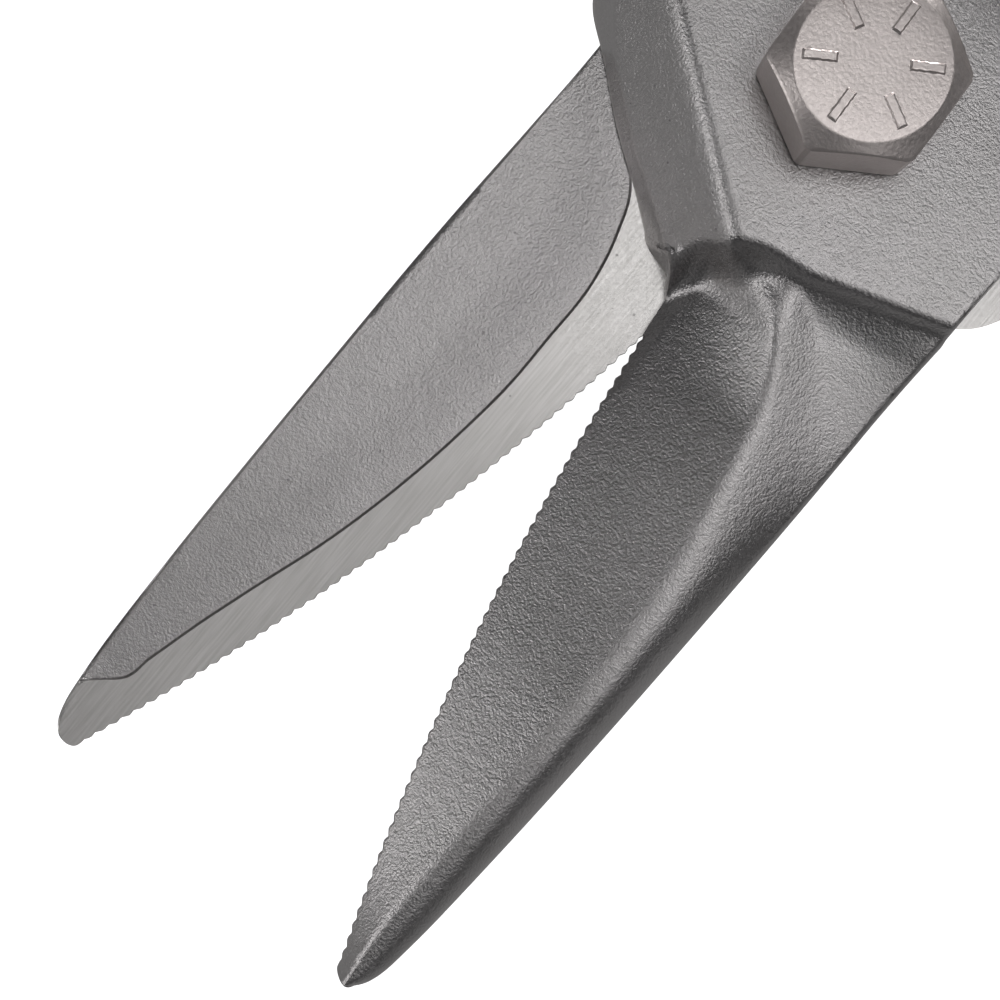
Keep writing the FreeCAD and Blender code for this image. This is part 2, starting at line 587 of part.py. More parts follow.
# The keeper stands on the rear handle's upper cheek, which is its lower cheek before it is turned over.
keeper_top = "-(channel_top + latch_lift + latch_plate + 0.8)"
turned("latch_keeper", [("0", keeper_top), ("keeper_radius * 0.8", keeper_top),
                        ("keeper_radius", f"{keeper_top} + 0.4"), ("keeper_radius", f"{CHANNEL_LOW} - 1.2"),
                        ("keeper_radius + 1.1", f"{CHANNEL_LOW} - 1.2"), ("keeper_radius + 1.1", CHANNEL_LOW),
                        ("latch_pin", CHANNEL_LOW), ("latch_pin", f"{CHANNEL_LOW} + sheet"),
                        ("latch_pin + 0.8", f"{CHANNEL_LOW} + sheet"),
                        ("latch_pin + 0.8", f"{CHANNEL_LOW} + sheet + 0.8"), ("0", f"{CHANNEL_LOW} + sheet + 0.8")],
       on_handle(REAR_HANDLE_PLACE, size("latch_x"), size("latch_y")))


# ---------------------------------------------------------------- check and write

NODES = ["front_blade", "rear_blade", "pivot_bolt", "pivot_washer", "pivot_nut", "nut_insert", "front_handle",
         "rear_handle", "front_grip", "rear_grip", "front_tang_rivet", "rear_tang_rivet", "front_tang_washers",
         "rear_tang_washers", "link_rivet", "link_bush", "link_washers", "return_spring", "front_spring_seat",
         "rear_spring_seat", "latch_lever", "latch_rivet", "latch_washer", "latch_keeper"]

document.recompute()
for item in document.Objects:
    if {"Invalid", "Error"} & set(item.State):
        raise RuntimeError(f"{item.Label} failed: {item.State}")
os.makedirs("parts", exist_ok=True)
for node in NODES:
    shape = document.getObject(node).Shape
    if shape.isNull() or not shape.isValid() or shape.Volume <= 0:
        raise RuntimeError(f"{node} has no sound shape")
    box = shape.BoundBox
    print(f"{node:20s} solids {len(shape.Solids)} volume {shape.Volume:9.1f}  x {box.XMin:7.2f} {box.XMax:7.2f}"
          f"  y {box.YMin:7.2f} {box.YMax:7.2f}  z {box.ZMin:6.2f} {box.ZMax:6.2f}")
    shape.exportStep(f"parts/{node}.step")
print(f"front tang pivot {TANG_PIVOT.x:.3f} {TANG_PIVOT.y:.3f}, link pivot {LINK_PIVOT.y:.3f}, "
      f"handle swing {2 * HANDLE_SWING:.3f}, blade swing {2 * BLADE_SWING:.3f}")
latch_spot = FRONT_HANDLE_PLACE.multVec(LATCH)
print(f"latch pivot {latch_spot.x:.3f} {latch_spot.y:.3f}")
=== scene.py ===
import json
import math

import bmesh
import bpy
import numpy as np
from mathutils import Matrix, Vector


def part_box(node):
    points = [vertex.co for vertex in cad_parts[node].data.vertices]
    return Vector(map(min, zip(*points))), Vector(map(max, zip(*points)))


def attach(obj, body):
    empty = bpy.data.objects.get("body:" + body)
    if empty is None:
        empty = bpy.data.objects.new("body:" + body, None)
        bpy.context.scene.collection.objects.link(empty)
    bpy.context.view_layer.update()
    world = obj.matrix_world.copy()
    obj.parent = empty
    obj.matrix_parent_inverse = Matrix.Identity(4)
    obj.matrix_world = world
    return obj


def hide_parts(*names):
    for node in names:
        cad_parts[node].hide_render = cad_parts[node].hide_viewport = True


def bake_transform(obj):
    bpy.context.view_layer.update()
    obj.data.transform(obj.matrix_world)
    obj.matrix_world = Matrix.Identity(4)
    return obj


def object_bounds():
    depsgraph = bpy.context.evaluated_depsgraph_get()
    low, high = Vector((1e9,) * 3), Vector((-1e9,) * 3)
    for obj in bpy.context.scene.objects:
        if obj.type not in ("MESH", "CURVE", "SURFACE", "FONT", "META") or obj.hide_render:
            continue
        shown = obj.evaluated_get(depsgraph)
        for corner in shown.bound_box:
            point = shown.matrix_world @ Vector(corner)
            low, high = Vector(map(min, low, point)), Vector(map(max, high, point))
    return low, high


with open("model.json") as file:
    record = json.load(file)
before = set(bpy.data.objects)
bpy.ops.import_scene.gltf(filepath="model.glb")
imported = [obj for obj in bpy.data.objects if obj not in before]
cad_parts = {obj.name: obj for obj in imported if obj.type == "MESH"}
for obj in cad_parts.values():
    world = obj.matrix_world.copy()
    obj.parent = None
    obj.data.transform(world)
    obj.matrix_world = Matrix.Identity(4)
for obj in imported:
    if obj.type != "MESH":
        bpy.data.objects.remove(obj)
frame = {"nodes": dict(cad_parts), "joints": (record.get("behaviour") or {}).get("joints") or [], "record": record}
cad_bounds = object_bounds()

# Compound-action snips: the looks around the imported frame. Shapes are worked out in millimetres about the
# shear plane, the level at which the two blades meet, and are turned into metres when a mesh is made.

MM = 0.001
JOINTS = {joint["name"]: joint for joint in frame["joints"]}
BODIES = frame["record"]["behaviour"]["bodies"]
SHEAR = JOINTS["blade_pivot"]["pos_m"][2] / MM
TANG_X, TANG_Y = [value / MM for value in JOINTS["front_tang_pivot"]["pos_m"][:2]]
LINK_Y = JOINTS["handle_pivot"]["pos_m"][1] / MM


# ------------------------------------------------------------------ small tools

def through(points, at):
    """Smooth curve through points whose first number is the parameter; clamped at both ends."""
    table = np.array(points, float)
    knots, values = table[:, 0], table[:, 1:]
    slopes = np.gradient(values, knots, axis=0)
    at = np.clip(np.asarray(at, float), knots[0], knots[-1])
    left = np.clip(np.searchsorted(knots, at, side="right") - 1, 0, len(knots) - 2)
    span = knots[left + 1] - knots[left]
    u = ((at - knots[left]) / span)[..., None]
    span = span[..., None]
    result = ((2 * u ** 3 - 3 * u ** 2 + 1) * values[left] + (u ** 3 - 2 * u ** 2 + u) * span * slopes[left]
              + (3 * u ** 2 - 2 * u ** 3) * values[left + 1] + (u ** 3 - u ** 2) * span * slopes[left + 1])
    return result[..., 0] if result.shape[-1] == 1 else result


def soft_min(a, b, width):
    """The lower of two surfaces, with their meeting line rounded off."""
    h = np.clip(0.5 + 0.5 * (b - a) / width, 0, 1)
    return b * (1 - h) + a * h - width * h * (1 - h)


def ease(value, low, high):
    """Smooth rise from 0 to 1 between two values."""
    u = np.clip((value - low) / (high - low), 0, 1)
    return u * u * (3 - 2 * u)


def round_drop(distance, radius):
    """How far a rounded rim of that radius lies below the sharp corner, at a distance from the rim."""
    radius = np.maximum(radius, 1e-6)
    gap = np.clip(radius - distance, 0, radius)
    return radius - np.sqrt(np.maximum(radius ** 2 - gap ** 2, 0))


def mesh_piece(name, places, faces, attributes=(), sharp=40):
    """An object from millimetre places about the shear plane."""
    mesh = bpy.data.meshes.new(name)
    lifted = np.asarray(places, float) + (0, 0, SHEAR)
    mesh.from_pydata((lifted * MM).tolist(), [], faces)
    for label, values in attributes:
        layer = mesh.attributes.new(label, "FLOAT", "POINT")
        layer.data.foreach_set("value", np.asarray(values, np.float32))
    piece = bpy.data.objects.new(name, mesh)
    bpy.context.scene.collection.objects.link(piece)
    tidy_mesh(piece, sharp)
    return piece


def tidy_mesh(piece, sharp, merge=1e-6):
    """Close doubled corners, point the faces outwards, smooth all but sharp edges."""
    work = bmesh.new()
    work.from_mesh(piece.data)
    bmesh.ops.remove_doubles(work, verts=work.verts, dist=merge)
    bmesh.ops.dissolve_degenerate(work, edges=work.edges, dist=merge)
    bmesh.ops.recalc_face_normals(work, faces=work.faces)
    work.to_mesh(piece.data)
    work.free()
    for face in piece.data.polygons:
        face.use_smooth = True
    piece.data.set_sharp_from_angle(angle=math.radians(sharp))


def settle(piece):
    """Apply the modifiers of a piece."""
    graph = bpy.context.evaluated_depsgraph_get()
    mesh = bpy.data.meshes.new_from_object(piece.evaluated_get(graph))
    piece.modifiers.clear()
    piece.data = mesh


def place(piece, body, node, slot, material):
    piece.data.materials.clear()
    piece.data.materials.append(material)
    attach(piece, body)
    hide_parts(node)
    return piece


# ------------------------------------------------------------------ materials

class Shader:
    """A node material with short calls for the nodes that it uses."""

    def __init__(self, name):
        self.material = bpy.data.materials.new(name)
        self.material.use_nodes = True
        self.tree = self.material.node_tree
        self.tree.nodes.clear()
        self.output = self.add("ShaderNodeOutputMaterial")
        self.surface = self.add("ShaderNodeBsdfPrincipled")
        self.link(self.surface.outputs[0], self.output.inputs["Surface"])
        self.place = self.add("ShaderNodeTexCoord").outputs["Object"]

    def add(self, kind, **settings):
        node = self.tree.nodes.new(kind)
        for key, value in settings.items():
            setattr(node, key, value)
        return node

    def link(self, start, end):
        self.tree.links.new(start, end)

    def feed(self, socket, value):
        if isinstance(value, bpy.types.NodeSocket):
            self.link(value, socket)
        else:
            socket.default_value = value

    def noise(self, grain_mm, detail=3.0, roughness=0.55, stretch=(1, 1, 1), turn=0.0):
        """Noise whose grain is about that size in millimetres; stretch lengthens it along an axis."""
        mapping = self.add("ShaderNodeMapping")
        mapping.inputs["Rotation"].default_value = (0, 0, math.radians(turn))
        mapping.inputs["Scale"].default_value = tuple(1 / (grain_mm * MM * factor) for factor in stretch)
        self.link(self.place, mapping.inputs["Vector"])
        texture = self.add("ShaderNodeTexNoise")
        texture.inputs["Scale"].default_value = 1.0
        texture.inputs["Detail"].default_value = detail
        texture.inputs["Roughness"].default_value = roughness
        self.link(mapping.outputs[0], texture.inputs["Vector"])
        return texture.outputs["Fac"]

    def cells(self, grain_mm):
        mapping = self.add("ShaderNodeMapping")
        mapping.inputs["Scale"].default_value = (1 / (grain_mm * MM),) * 3
        self.link(self.place, mapping.inputs["Vector"])
        texture = self.add("ShaderNodeTexVoronoi", feature="F1")
        texture.inputs["Scale"].default_value = 1.0
        self.link(mapping.outputs[0], texture.inputs["Vector"])
        return texture.outputs["Distance"]

    def span(self, value, low, high, to_low=0.0, to_high=1.0):
        node = self.add("ShaderNodeMapRange")
        for socket, item in zip(node.inputs, (value, low, high, to_low, to_high)):
            self.feed(socket, item)
        return node.outputs[0]

    def mix(self, amount, a, b):
        node = self.add("ShaderNodeMix", data_type="RGBA")
        self.feed(node.inputs[0], amount)
        self.feed(node.inputs[6], a if not isinstance(a, tuple) else (*a, 1.0))
        self.feed(node.inputs[7], b if not isinstance(b, tuple) else (*b, 1.0))
        return node.outputs[2]

    def bump(self, height, depth_mm, strength=1.0, below=None):
        node = self.add("ShaderNodeBump")
        node.inputs["Strength"].default_value = strength
        node.inputs["Distance"].default_value = depth_mm * MM
        self.link(height, node.inputs["Height"])
        if below is not None:
            self.link(below, node.inputs["Normal"])
        return node.outputs[0]

    def attribute(self, label):
        return self.add("ShaderNodeAttribute", attribute_name=label).outputs["Fac"]

    def finish(self, **sockets):
        names = {"colour": "Base Color", "metallic": "Metallic", "roughness": "Roughness", "normal": "Normal"}
        for name, value in sockets.items():
            if isinstance(value, tuple):
                value = (*value, 1.0)
            self.feed(self.surface.inputs[names[name]], value)
        return self.material


def blade_material():
    """Sand-blasted forging with a cloudy tone and small pits, and a finely scratched ground land."""
    s = Shader("forged_blade")
    land = s.attribute("land")
    grain = s.noise(0.19, detail=2.0, roughness=0.65)
    lumps = s.noise(0.7, detail=2.0)
    cloud = s.noise(9.0, detail=3.0)
    pit = s.span(s.cells(2.1), 0.035, 0.06, 0.45, 0.0)
    scratch = s.noise(0.16, detail=2.0, stretch=(1, 26, 1), turn=4)
    tone = s.mix(s.span(cloud, 0.35, 0.65), (0.43, 0.415, 0.412), (0.47, 0.452, 0.452))
    tone = s.mix(s.span(grain, 0.30, 0.70), s.mix(0.80, (0.15, 0.143, 0.143), tone), tone)
    ground = s.mix(s.span(scratch, 0.30, 0.70), (0.44, 0.428, 0.415), (0.54, 0.525, 0.515))
    colour = s.mix(land, tone, ground)
    colour = s.mix(pit, colour, (0.05, 0.05, 0.05))
    rough = s.span(grain, 0.3, 0.7, 0.28, 0.39)
    peel = s.bump(grain, 0.05, 1.0)
    peel = s.bump(lumps, 0.05, 0.6, below=peel)
    combed = s.bump(scratch, 0.012, 0.8)
    normal = s.add("ShaderNodeMix", data_type="VECTOR")
    s.link(land, normal.inputs[0])
    s.link(peel, normal.inputs[4])
    s.link(combed, normal.inputs[5])
    return s.finish(colour=colour, metallic=1.0, roughness=rough, normal=normal.outputs[1])


def plated_steel(name, colour, roughness, grain_mm=0.25, depth_mm=0.02, metallic=0.9):
    """Satin plated steel with a fine grain and cloudy tone."""
    s = Shader(name)
    grain = s.noise(grain_mm, detail=2.5)
    cloud = s.noise(7.0, detail=3.0)
    darker = tuple(value * 0.82 for value in colour)
    tone = s.mix(s.span(cloud, 0.3, 0.7), darker, colour)
    tone = s.mix(s.span(grain, 0.3, 0.7, 0.0, 0.25), tone, darker)
    rough = s.span(grain, 0.3, 0.7, roughness - 0.05, roughness + 0.06)
    return s.finish(colour=tone, metallic=metallic, roughness=rough, normal=s.bump(grain, depth_mm, 0.8))


def vinyl(name, colour):
    """Matt moulded vinyl with a fine leathery grain."""
    s = Shader(name)
    grain = s.noise(0.35, detail=3.0)
    cloud = s.noise(14.0, detail=2.0)
    darker = tuple(value * 0.75 for value in colour)
    tone = s.mix(s.span(cloud, 0.3, 0.7), darker, colour)
    rough = s.span(grain, 0.3, 0.7, 0.42, 0.58)
    return s.finish(colour=tone, metallic=0.0, roughness=rough, normal=s.bump(grain, 0.05, 0.7))


MATERIALS = {
    "blade_steel": blade_material(),
    "bolt_steel": plated_steel("satin_bolt", (0.67, 0.61, 0.59), 0.38, 0.25, 0.03),
    "handle_steel": plated_steel("pressed_steel", (0.40, 0.395, 0.40), 0.36, 0.3, 0.01),
    "rivet_steel": plated_steel("rivet_steel", (0.45, 0.44, 0.43), 0.34, 0.25, 0.01),
    "latch_steel": plated_steel("latch_steel", (0.42, 0.415, 0.42), 0.32, 0.3, 0.01),
    "spring_steel": plated_steel("spring_wire", (0.35, 0.35, 0.36), 0.28, 0.2, 0.004),
    "seat_plastic": vinyl("black_nylon", (0.03, 0.03, 0.032)),
    "insert_nylon": vinyl("pale_nylon", (0.60, 0.61, 0.58)),
    "grip_vinyl": vinyl("yellow_vinyl", (0.75, 0.46, 0.02)),
}


# ------------------------------------------------------------------ blades

EDGE_RADIUS = 196.0                    # plan radius of the cutting edge
EDGE_HEEL = (0.4, 17.0)
EDGE_TIP = (-11.6, 65.9)
POINT_Y = 66.4                         # foremost place of the rounded point
POINT_X = -12.5
TOOTH_PITCH, TOOTH_DEPTH = 0.95, 0.2
BOSS_TOP, BOSS_RADIUS = 7.0, 15.4
RIM = 1.6                              # height of the upright wall under the sloping sides
ROW = 0.2                              # distance between rows along the blade
EAR = (4.2, -23.0)                     # middle of the hollow that clears the handles' ears
EAR_RADIUS = 7.7
EYE_RADIUS = 8.5                       # rounded end of the tang, about its rivet
TANG_END = (14.7, -47.0)               # where the inner side of the tang meets that end
OUTER_SIDE = [(17.9, 0.0), (21.4, -13.0), (22.8, -18.0), (25.3, -26.5), (31.5, -47.0)]
TIP_LENGTH = 1.4                       # part of the point with closer rows
COLUMNS = 71                           # places across the upper surface
LAND_STEP, LAND_DEPTH = 0.22, 0.30     # width and height of the step from the ground land to the hollow
HOLLOW_DEPTH = 0.25                    # further depth away from that step
LEAST_HEIGHT = 0.3                     # thinnest part of the forging

# Lines on the forging. SPINE gives x by the square root of the distance behind the point. RIDGE, RIM_LINE,
# FOOT_LINE and LAND_LINE give x by y: the crest, the top and the foot of the heel's wall, and the border of
# the ground land. The others give heights: CROWN by the distance past the boss's front edge, the rest by y.
SPINE = [(0.0, -12.5), (0.3, -13.05), (0.6, -13.45), (1.05, -13.95), (1.5, -14.3), (2.05, -14.55),
         (2.6, -14.78), (3.3, -15.0), (4.4, -15.3), (5.6, -15.5), (6.7, -15.5), (7.3, -15.3),
         (7.72, -15.2), (8.15, -15.4)]
RIDGE = [(10.9, 0.6), (11.7, -0.9), (12.5, -2.9), (13.4, -4.5), (14.4, -5.7), (15.6, -6.8),
         (17.4, -8.0), (19.6, -9.1), (22.7, -9.9), (26.0, -10.6), (29.0, -11.2), (34.0, -11.9),
         (44.0, -12.25), (54.0, -12.15), (60.0, -12.1), (64.5, -12.35), (66.4, -12.6)]
RIDGE_TOP = [(11.4, 7.0), (12.2, 6.95), (13.0, 6.65), (14.0, 6.3), (15.5, 5.95), (17.4, 5.65),
             (19.6, 5.4), (22.7, 5.2), (28.0, 4.9), (45.0, 3.9), (56.0, 2.8), (66.4, 1.6)]
CROWN = [(-2.0, 8.8), (0.0, 7.0), (0.6, 6.45), (1.3, 6.15), (2.5, 5.9), (4.0, 5.7), (7.0, 5.4),
         (10.0, 5.25), (17.8, 4.85), (34.2, 3.9), (44.6, 2.8), (54.5, 1.6), (60.0, 1.3)]
RIM_LINE = [(0.0, 17.9), (4.2, 16.1), (5.75, 14.8), (7.2, 13.35), (8.7, 11.4), (10.7, 8.8),
            (12.6, 5.8), (14.6, 2.9), (15.3, 1.8), (16.2, 1.0), (17.0, 0.4)]
FOOT_LINE = [(0.0, 19.2), (3.0, 18.2), (5.0, 16.9), (6.9, 14.4), (10.4, 10.0), (12.4, 7.0),
             (14.0, 4.8), (15.1, 3.1), (15.4, 1.85), (16.2, 1.0), (17.0, 0.4)]
SPINE_TOP = [(-4.0, 7.0), (6.5, 6.9), (8.2, 6.4), (10.0, 5.7), (12.0, 5.0), (14.0, 4.5), (17.0, 3.9),
             (21.0, 3.4), (30.0, 2.6), (45.0, 1.7), (58.0, 1.0), (66.4, 0.7)]
SIDE_FOOT = 5.6                        # height at which the boss's spine wall starts to lean in
SOFT_CORNER = (-3.4, 14.0)             # place where ridge, lip and boss run together
SOFT_REACH, SOFT_ROUNDS = 3.2, 12
FRONT = (-0.332, 0.943, 12.25)         # boss's front edge: the way it faces, and its distance from the pivot
FLANK_SLOPE = 1.35
FLANK = (0.6, 0.8, 13.85)              # foot of the boss's sloping side, given the same way
TANG_FLANK = (0.958, 0.284, 17.7)      # the same for the tang
LAND_LINE = [(3.0, -15.4), (6.5, -13.2), (9.8, -10.0), (12.2, -7.3), (15.6, -5.7), (19.0, -4.9),
             (24.4, -4.75), (28.0, -4.75), (32.0, -5.1), (37.5, -5.9), (44.2, -7.4), (50.3, -9.3),
             (54.3, -10.5), (58.3, -11.55), (60.6, -12.2), (61.5, -13.2), (62.6, -14.4)]
TANG_TOP = [(-60.0, 4.8), (-34.0, 4.8), (-26.0, 5.15), (-18.0, 5.5), (-9.0, 6.8), (-3.0, 7.0),
            (70.0, 7.0)]
TANG_LOW = [(-60.0, -2.2), (-35.0, -2.2), (-33.0, -2.1), (-26.0, -0.6), (-19.0, 0.015), (-16.0, 0.015),
            (70.0, 0.015)]


def edge_centre():
    """Centre of the cutting edge's arc, from its two ends and its radius."""
    heel, tip = np.array(EDGE_HEEL), np.array(EDGE_TIP)
    chord = tip - heel
    length = np.hypot(*chord)
    reach = math.sqrt(EDGE_RADIUS ** 2 - (length / 2) ** 2)
    return (heel + tip) / 2 + np.array((-chord[1], chord[0])) / length * reach


EDGE_CENTRE = edge_centre()


def edge_x(y):
    """Cutting edge, by its place along the blade."""
    return EDGE_CENTRE[0] + np.sqrt(EDGE_RADIUS ** 2 - (y - EDGE_CENTRE[1]) ** 2)


def spine_x(y):
    """Back of the blade, by its place along the blade."""
    return through(SPINE, np.sqrt(np.maximum(POINT_Y - y, 0)))


def tooth_notch(y):
    """How far the serrations cut in from the edge's arc."""
    phase = (y / TOOTH_PITCH) % 1.0
    wave = np.abs(phase - 0.5) * 2
    fade = ease(y, 19.2, 20.2) * (1 - ease(y, 65.2, 65.9))
    return TOOTH_DEPTH * wave ** 1.3 * fade


def blade_rows():
    """Places on the spine side, and at the rim and foot of the edge side, from the point back to the eye."""
    tip_rows = POINT_Y - TIP_LENGTH * np.linspace(0, 1, 17)[:-1] ** 2
    edge_rows = np.arange(POINT_Y - TIP_LENGTH, EDGE_HEEL[1], -ROW)
    y = np.concatenate([tip_rows, edge_rows])
    rounding = np.clip(1 - ((y - EDGE_TIP[1]) / (POINT_Y - EDGE_TIP[1])) ** 2, 0, 1)
    round_x = POINT_X + (EDGE_TIP[0] - POINT_X) * np.sqrt(rounding)
    right = np.where(y > EDGE_TIP[1], round_x, edge_x(y) - tooth_notch(y))
    edge = np.stack([right, y], 1)
    rows = [(np.stack([spine_x(y), y], 1), edge, edge)]
    y = np.arange(EDGE_HEEL[1], 0.0, -ROW)
    rows.append((np.stack([spine_x(y), y], 1), np.stack([through(RIM_LINE, y), y], 1),
                 np.stack([through(FOOT_LINE, y), y], 1)))

    def walk(left, right, count, draft=(0.3, 0.3)):
        """Rows between two lines; the foot stands out from the rim by the draft, first to last."""
        u = np.linspace(0, 1, count, endpoint=False)
        rim = right(u)
        way = rim - left(u)
        outward = way / np.hypot(way[:, 0], way[:, 1])[:, None]
        rows.append((left(u), rim, rim + outward * (draft[0] + (draft[1] - draft[0]) * u)[:, None]))

    def line(start, end):
        return lambda u: np.outer(1 - u, start) + np.outer(u, end)

    def arc(centre, radius, first, last):
        def at(u):
            angle = np.radians(first + (last - first) * u)
            return np.array(centre) + radius * np.stack([np.cos(angle), np.sin(angle)], 1)
        return at

    boss_end, neck_end, ear_end = (3.99, -14.88), (9.9, -17.9), (11.12, -26.37)
    boss_side, neck_side, ear_side, tang_side = zip(OUTER_SIDE[:-1], OUTER_SIDE[1:])
    walk(arc((0, 0), BOSS_RADIUS, 180, 285), line(*boss_side), 64, (1.3, 0.3))
    walk(line(boss_end, neck_end), line(*neck_side), 16)
    walk(arc(EAR, EAR_RADIUS, 41.5, -26.0), line(*ear_side), 20)
    walk(line(ear_end, TANG_END), line(*tang_side), 34)
    eye = (TANG_X, TANG_Y)
    last = math.degrees(math.atan2(TANG_Y, TANG_X))
    start = math.degrees(math.atan2(TANG_END[1] - TANG_Y, TANG_END[0] - TANG_X))
    walk(arc(eye, EYE_RADIUS, start % 360, 360 + last), arc(eye, EYE_RADIUS, 12.0, last), 30)
    return [np.concatenate([row[side] for row in rows]) for side in range(3)]


def beyond(line, x, y):
    """Distance past a straight line given as a direction and its distance from the pivot."""
    return line[0] * x + line[1] * y - line[2]


def blade_top(x, y, from_left):
    """Upper surface of the forging: the boss, cut back past its front edge to the wedge of the blade."""
    past = beyond(FRONT, x, y)
    ridge_x, ridge_z = through(RIDGE, y), through(RIDGE_TOP, y)
    foot = edge_x(np.minimum(y, EDGE_TIP[1]))
    edge_z = 0.8 - 0.45 * ease(y, 20, 40)
    facet = edge_z + (ridge_z - edge_z) * (foot - x) / np.maximum(foot - ridge_x, 0.6)
    strip = 0.30 + 1.1 * np.maximum(foot - x, 0) + 1.5 * ease(y, 22, 30)      # narrow steep rim by the heel
    facet = soft_min(facet, strip, 0.12)

    share = np.clip((ridge_x - x) / np.maximum(ridge_x - spine_x(y), 0.8), -1, 1.3)
    straight = 1 - 0.85 * ease(y, 14, 34)                    # flat by the boss, round towards the point
    fall = straight * share + (1 - straight) * np.maximum(share, 0) ** 2.6
    crown = ridge_z + (through(CROWN, past) - ridge_z) * ease(ridge_x - x, 0, 5.0)
    back = crown - (crown - through(SPINE_TOP, y)) * fall * ease(past, 0.0, 3.0)

    beside = x - ridge_x
    reach = np.maximum(0.62 * beside - 1.2, 1.6)
    scoop = 5.0 * ease(beside, 0, 3.0) * np.clip(1 - past / reach, 0, 1) ** 1.35
    wedge = soft_min(facet, back, 0.4) + scoop

    flank = RIM - FLANK_SLOPE * beyond(FLANK, x, y)
    tang_flank = RIM - FLANK_SLOPE * beyond(TANG_FLANK, x, y)
    wall = SIDE_FOOT + 5.0 * from_left
    boss = soft_min(soft_min(through(TANG_TOP, y), flank, 0.9), tang_flank, 0.9)
    boss = soft_min(boss, wall, 0.6) + 2 * np.maximum(past - 0.6, 0)
    cut = np.minimum(soft_min(boss, wedge, 0.4) - boss, 0)
    return boss + cut * ease(past, -0.5, 0.5)


def soften(height, places, centre, reach, rounds):
    """Round a grid of heights off near a place, as the forging die left it."""
    away = np.hypot(places[..., 0] - centre[0], places[..., 1] - centre[1])
    near = 1 - ease(away, 0.4 * reach, reach)
    for _ in range(rounds):
        padded = np.pad(height, 1, mode="edge")
        mean = (padded[:-2, 1:-1] + padded[2:, 1:-1] + padded[1:-1, :-2] + padded[1:-1, 2:]) / 4
        height = height + near * (mean - height)
    return height


def between(start, end, shares):
    """Places between two rows of places, one set for each share of the way."""
    return start[:, None] * (1 - shares)[None, :, None] + end[:, None] * shares[None, :, None]


def upper_surface(left, right, across, width):
    """Places of the forging's upper surface, with its rounded rims."""
    full = np.clip(width / 6, 0.05, 1)                         # less rounding where the blade is narrow
    on_edge = ease(right[:, 1], 15.0, 17.5)
    left_round = (0.7 - 0.2 * ease(left[:, 1], 14.0, 18.0)) * full
    right_round = 0.45 * (1 - on_edge) * full + 0.12 * on_edge
    share = np.linspace(0, 1, COLUMNS)
    share = share - 0.09 * np.sin(2 * np.pi * share)           # closer places near both rims
    places = left[:, None] + across[:, None] * share[None, :, None]
    from_left, from_right = width[:, None] * share, width[:, None] * (1 - share)
    height = blade_top(places[..., 0], places[..., 1], from_left)
    height = height - round_drop(from_left, left_round[:, None])
    height = height - round_drop(from_right, right_round[:, None])
    height = soften(height, places, SOFT_CORNER, SOFT_REACH, SOFT_ROUNDS)
    height = np.maximum(height, through(TANG_LOW, places[..., 1]) + LEAST_HEIGHT)
    return np.concatenate([places, height[..., None]], 2)


def shear_face(left, foot, across, width):
    """Places of the shear face and the share of ground land at each: a flat land, a step and a hollow."""
    inward = across / np.maximum(width, 1e-6)[:, None]
    narrow = np.clip(width / 6, 0, 1)[:, None]
    start, end = left + inward * 0.12 * narrow, foot - inward * 0.05 * narrow
    breadth = np.maximum(np.hypot(*(end - start).T), 1e-6)
    within = (left[:, 1] > LAND_LINE[0][0]) & (left[:, 1] < LAND_LINE[-1][0])
    border = np.where(within, (through(LAND_LINE, left[:, 1]) - start[:, 0]) / breadth, 0)
    border = np.clip(border, 0.0, 0.98)
    hollow_end = np.maximum(border - np.clip(LAND_STEP / breadth, 0, 0.05), 0)
    hollow = hollow_end[:, None] * np.linspace(0, 1, 41)[None, :]
    step = hollow_end[:, None] + (border - hollow_end)[:, None] * np.linspace(0, 1, 5)[None, 1:]
    flat = border[:, None] + (1 - border)[:, None] * np.linspace(0, 1, 23)[None, 1:]
    share = np.concatenate([hollow, step, flat], 1)
    places = start[:, None] + (end - start)[:, None] * share[..., None]
    gap = (border[:, None] - share) * breadth[:, None]
    depth = LAND_DEPTH * ease(gap, 0.0, LAND_STEP) + HOLLOW_DEPTH * ease(gap, 0.3, 6.0)
    depth = depth * ease(border * breadth, 0.0, 0.8)[:, None]
    height = through(TANG_LOW, places[..., 1]) + depth + round_drop(share * breadth[:, None], 0.2)
    ground = ease(gap, 0.12, 0.02) * (places[..., 1] > -16)
    return np.concatenate([places, height[..., None]], 2), ground


def blade_places():
    """Rings of places round the forging, row by row, with the share of ground land at each place."""
    left, right, foot = blade_rows()
    across = right - left
    width = np.hypot(across[:, 0], across[:, 1])
    top = upper_surface(left, right, across, width)
    low, ground = shear_face(left, foot, across, width)
    right_wall = between(top[:, -1], low[:, -1], np.linspace(0, 1, 6)[1:-1])
    left_wall = between(low[:, 0], top[:, 0], np.linspace(0, 1, 7)[1:-1])
    ring = np.concatenate([top, right_wall, low[:, ::-1], left_wall], 1)
    edge_wall = ease(right[:, 1], 17.0, 19.0)[:, None] * np.ones(right_wall.shape[1])
    unground_top, unground_wall = np.zeros(top.shape[:2]), np.zeros(left_wall.shape[:2])
    land = np.concatenate([unground_top, edge_wall, ground[:, ::-1], unground_wall], 1)
    return ring, land


def blade(name, flipped):
    """One forging; the lower one is the upper one turned over about the blade's length."""
    ring, land = blade_places()
    rows, count = ring.shape[:2]
    places = ring.reshape(-1, 3)
    if flipped:
        places = places * (-1, 1, -1)
    index = np.arange(rows * count).reshape(rows, count)
    following = np.roll(index, -1, axis=1)
    faces = np.stack([index[:-1], index[1:], following[1:], following[:-1]], -1).reshape(-1, 4).tolist()
    faces.append(index[0].tolist())
    faces.append(index[-1][::-1].tolist())
    return mesh_piece(name, places, faces, [("land", land.reshape(-1))], sharp=38)


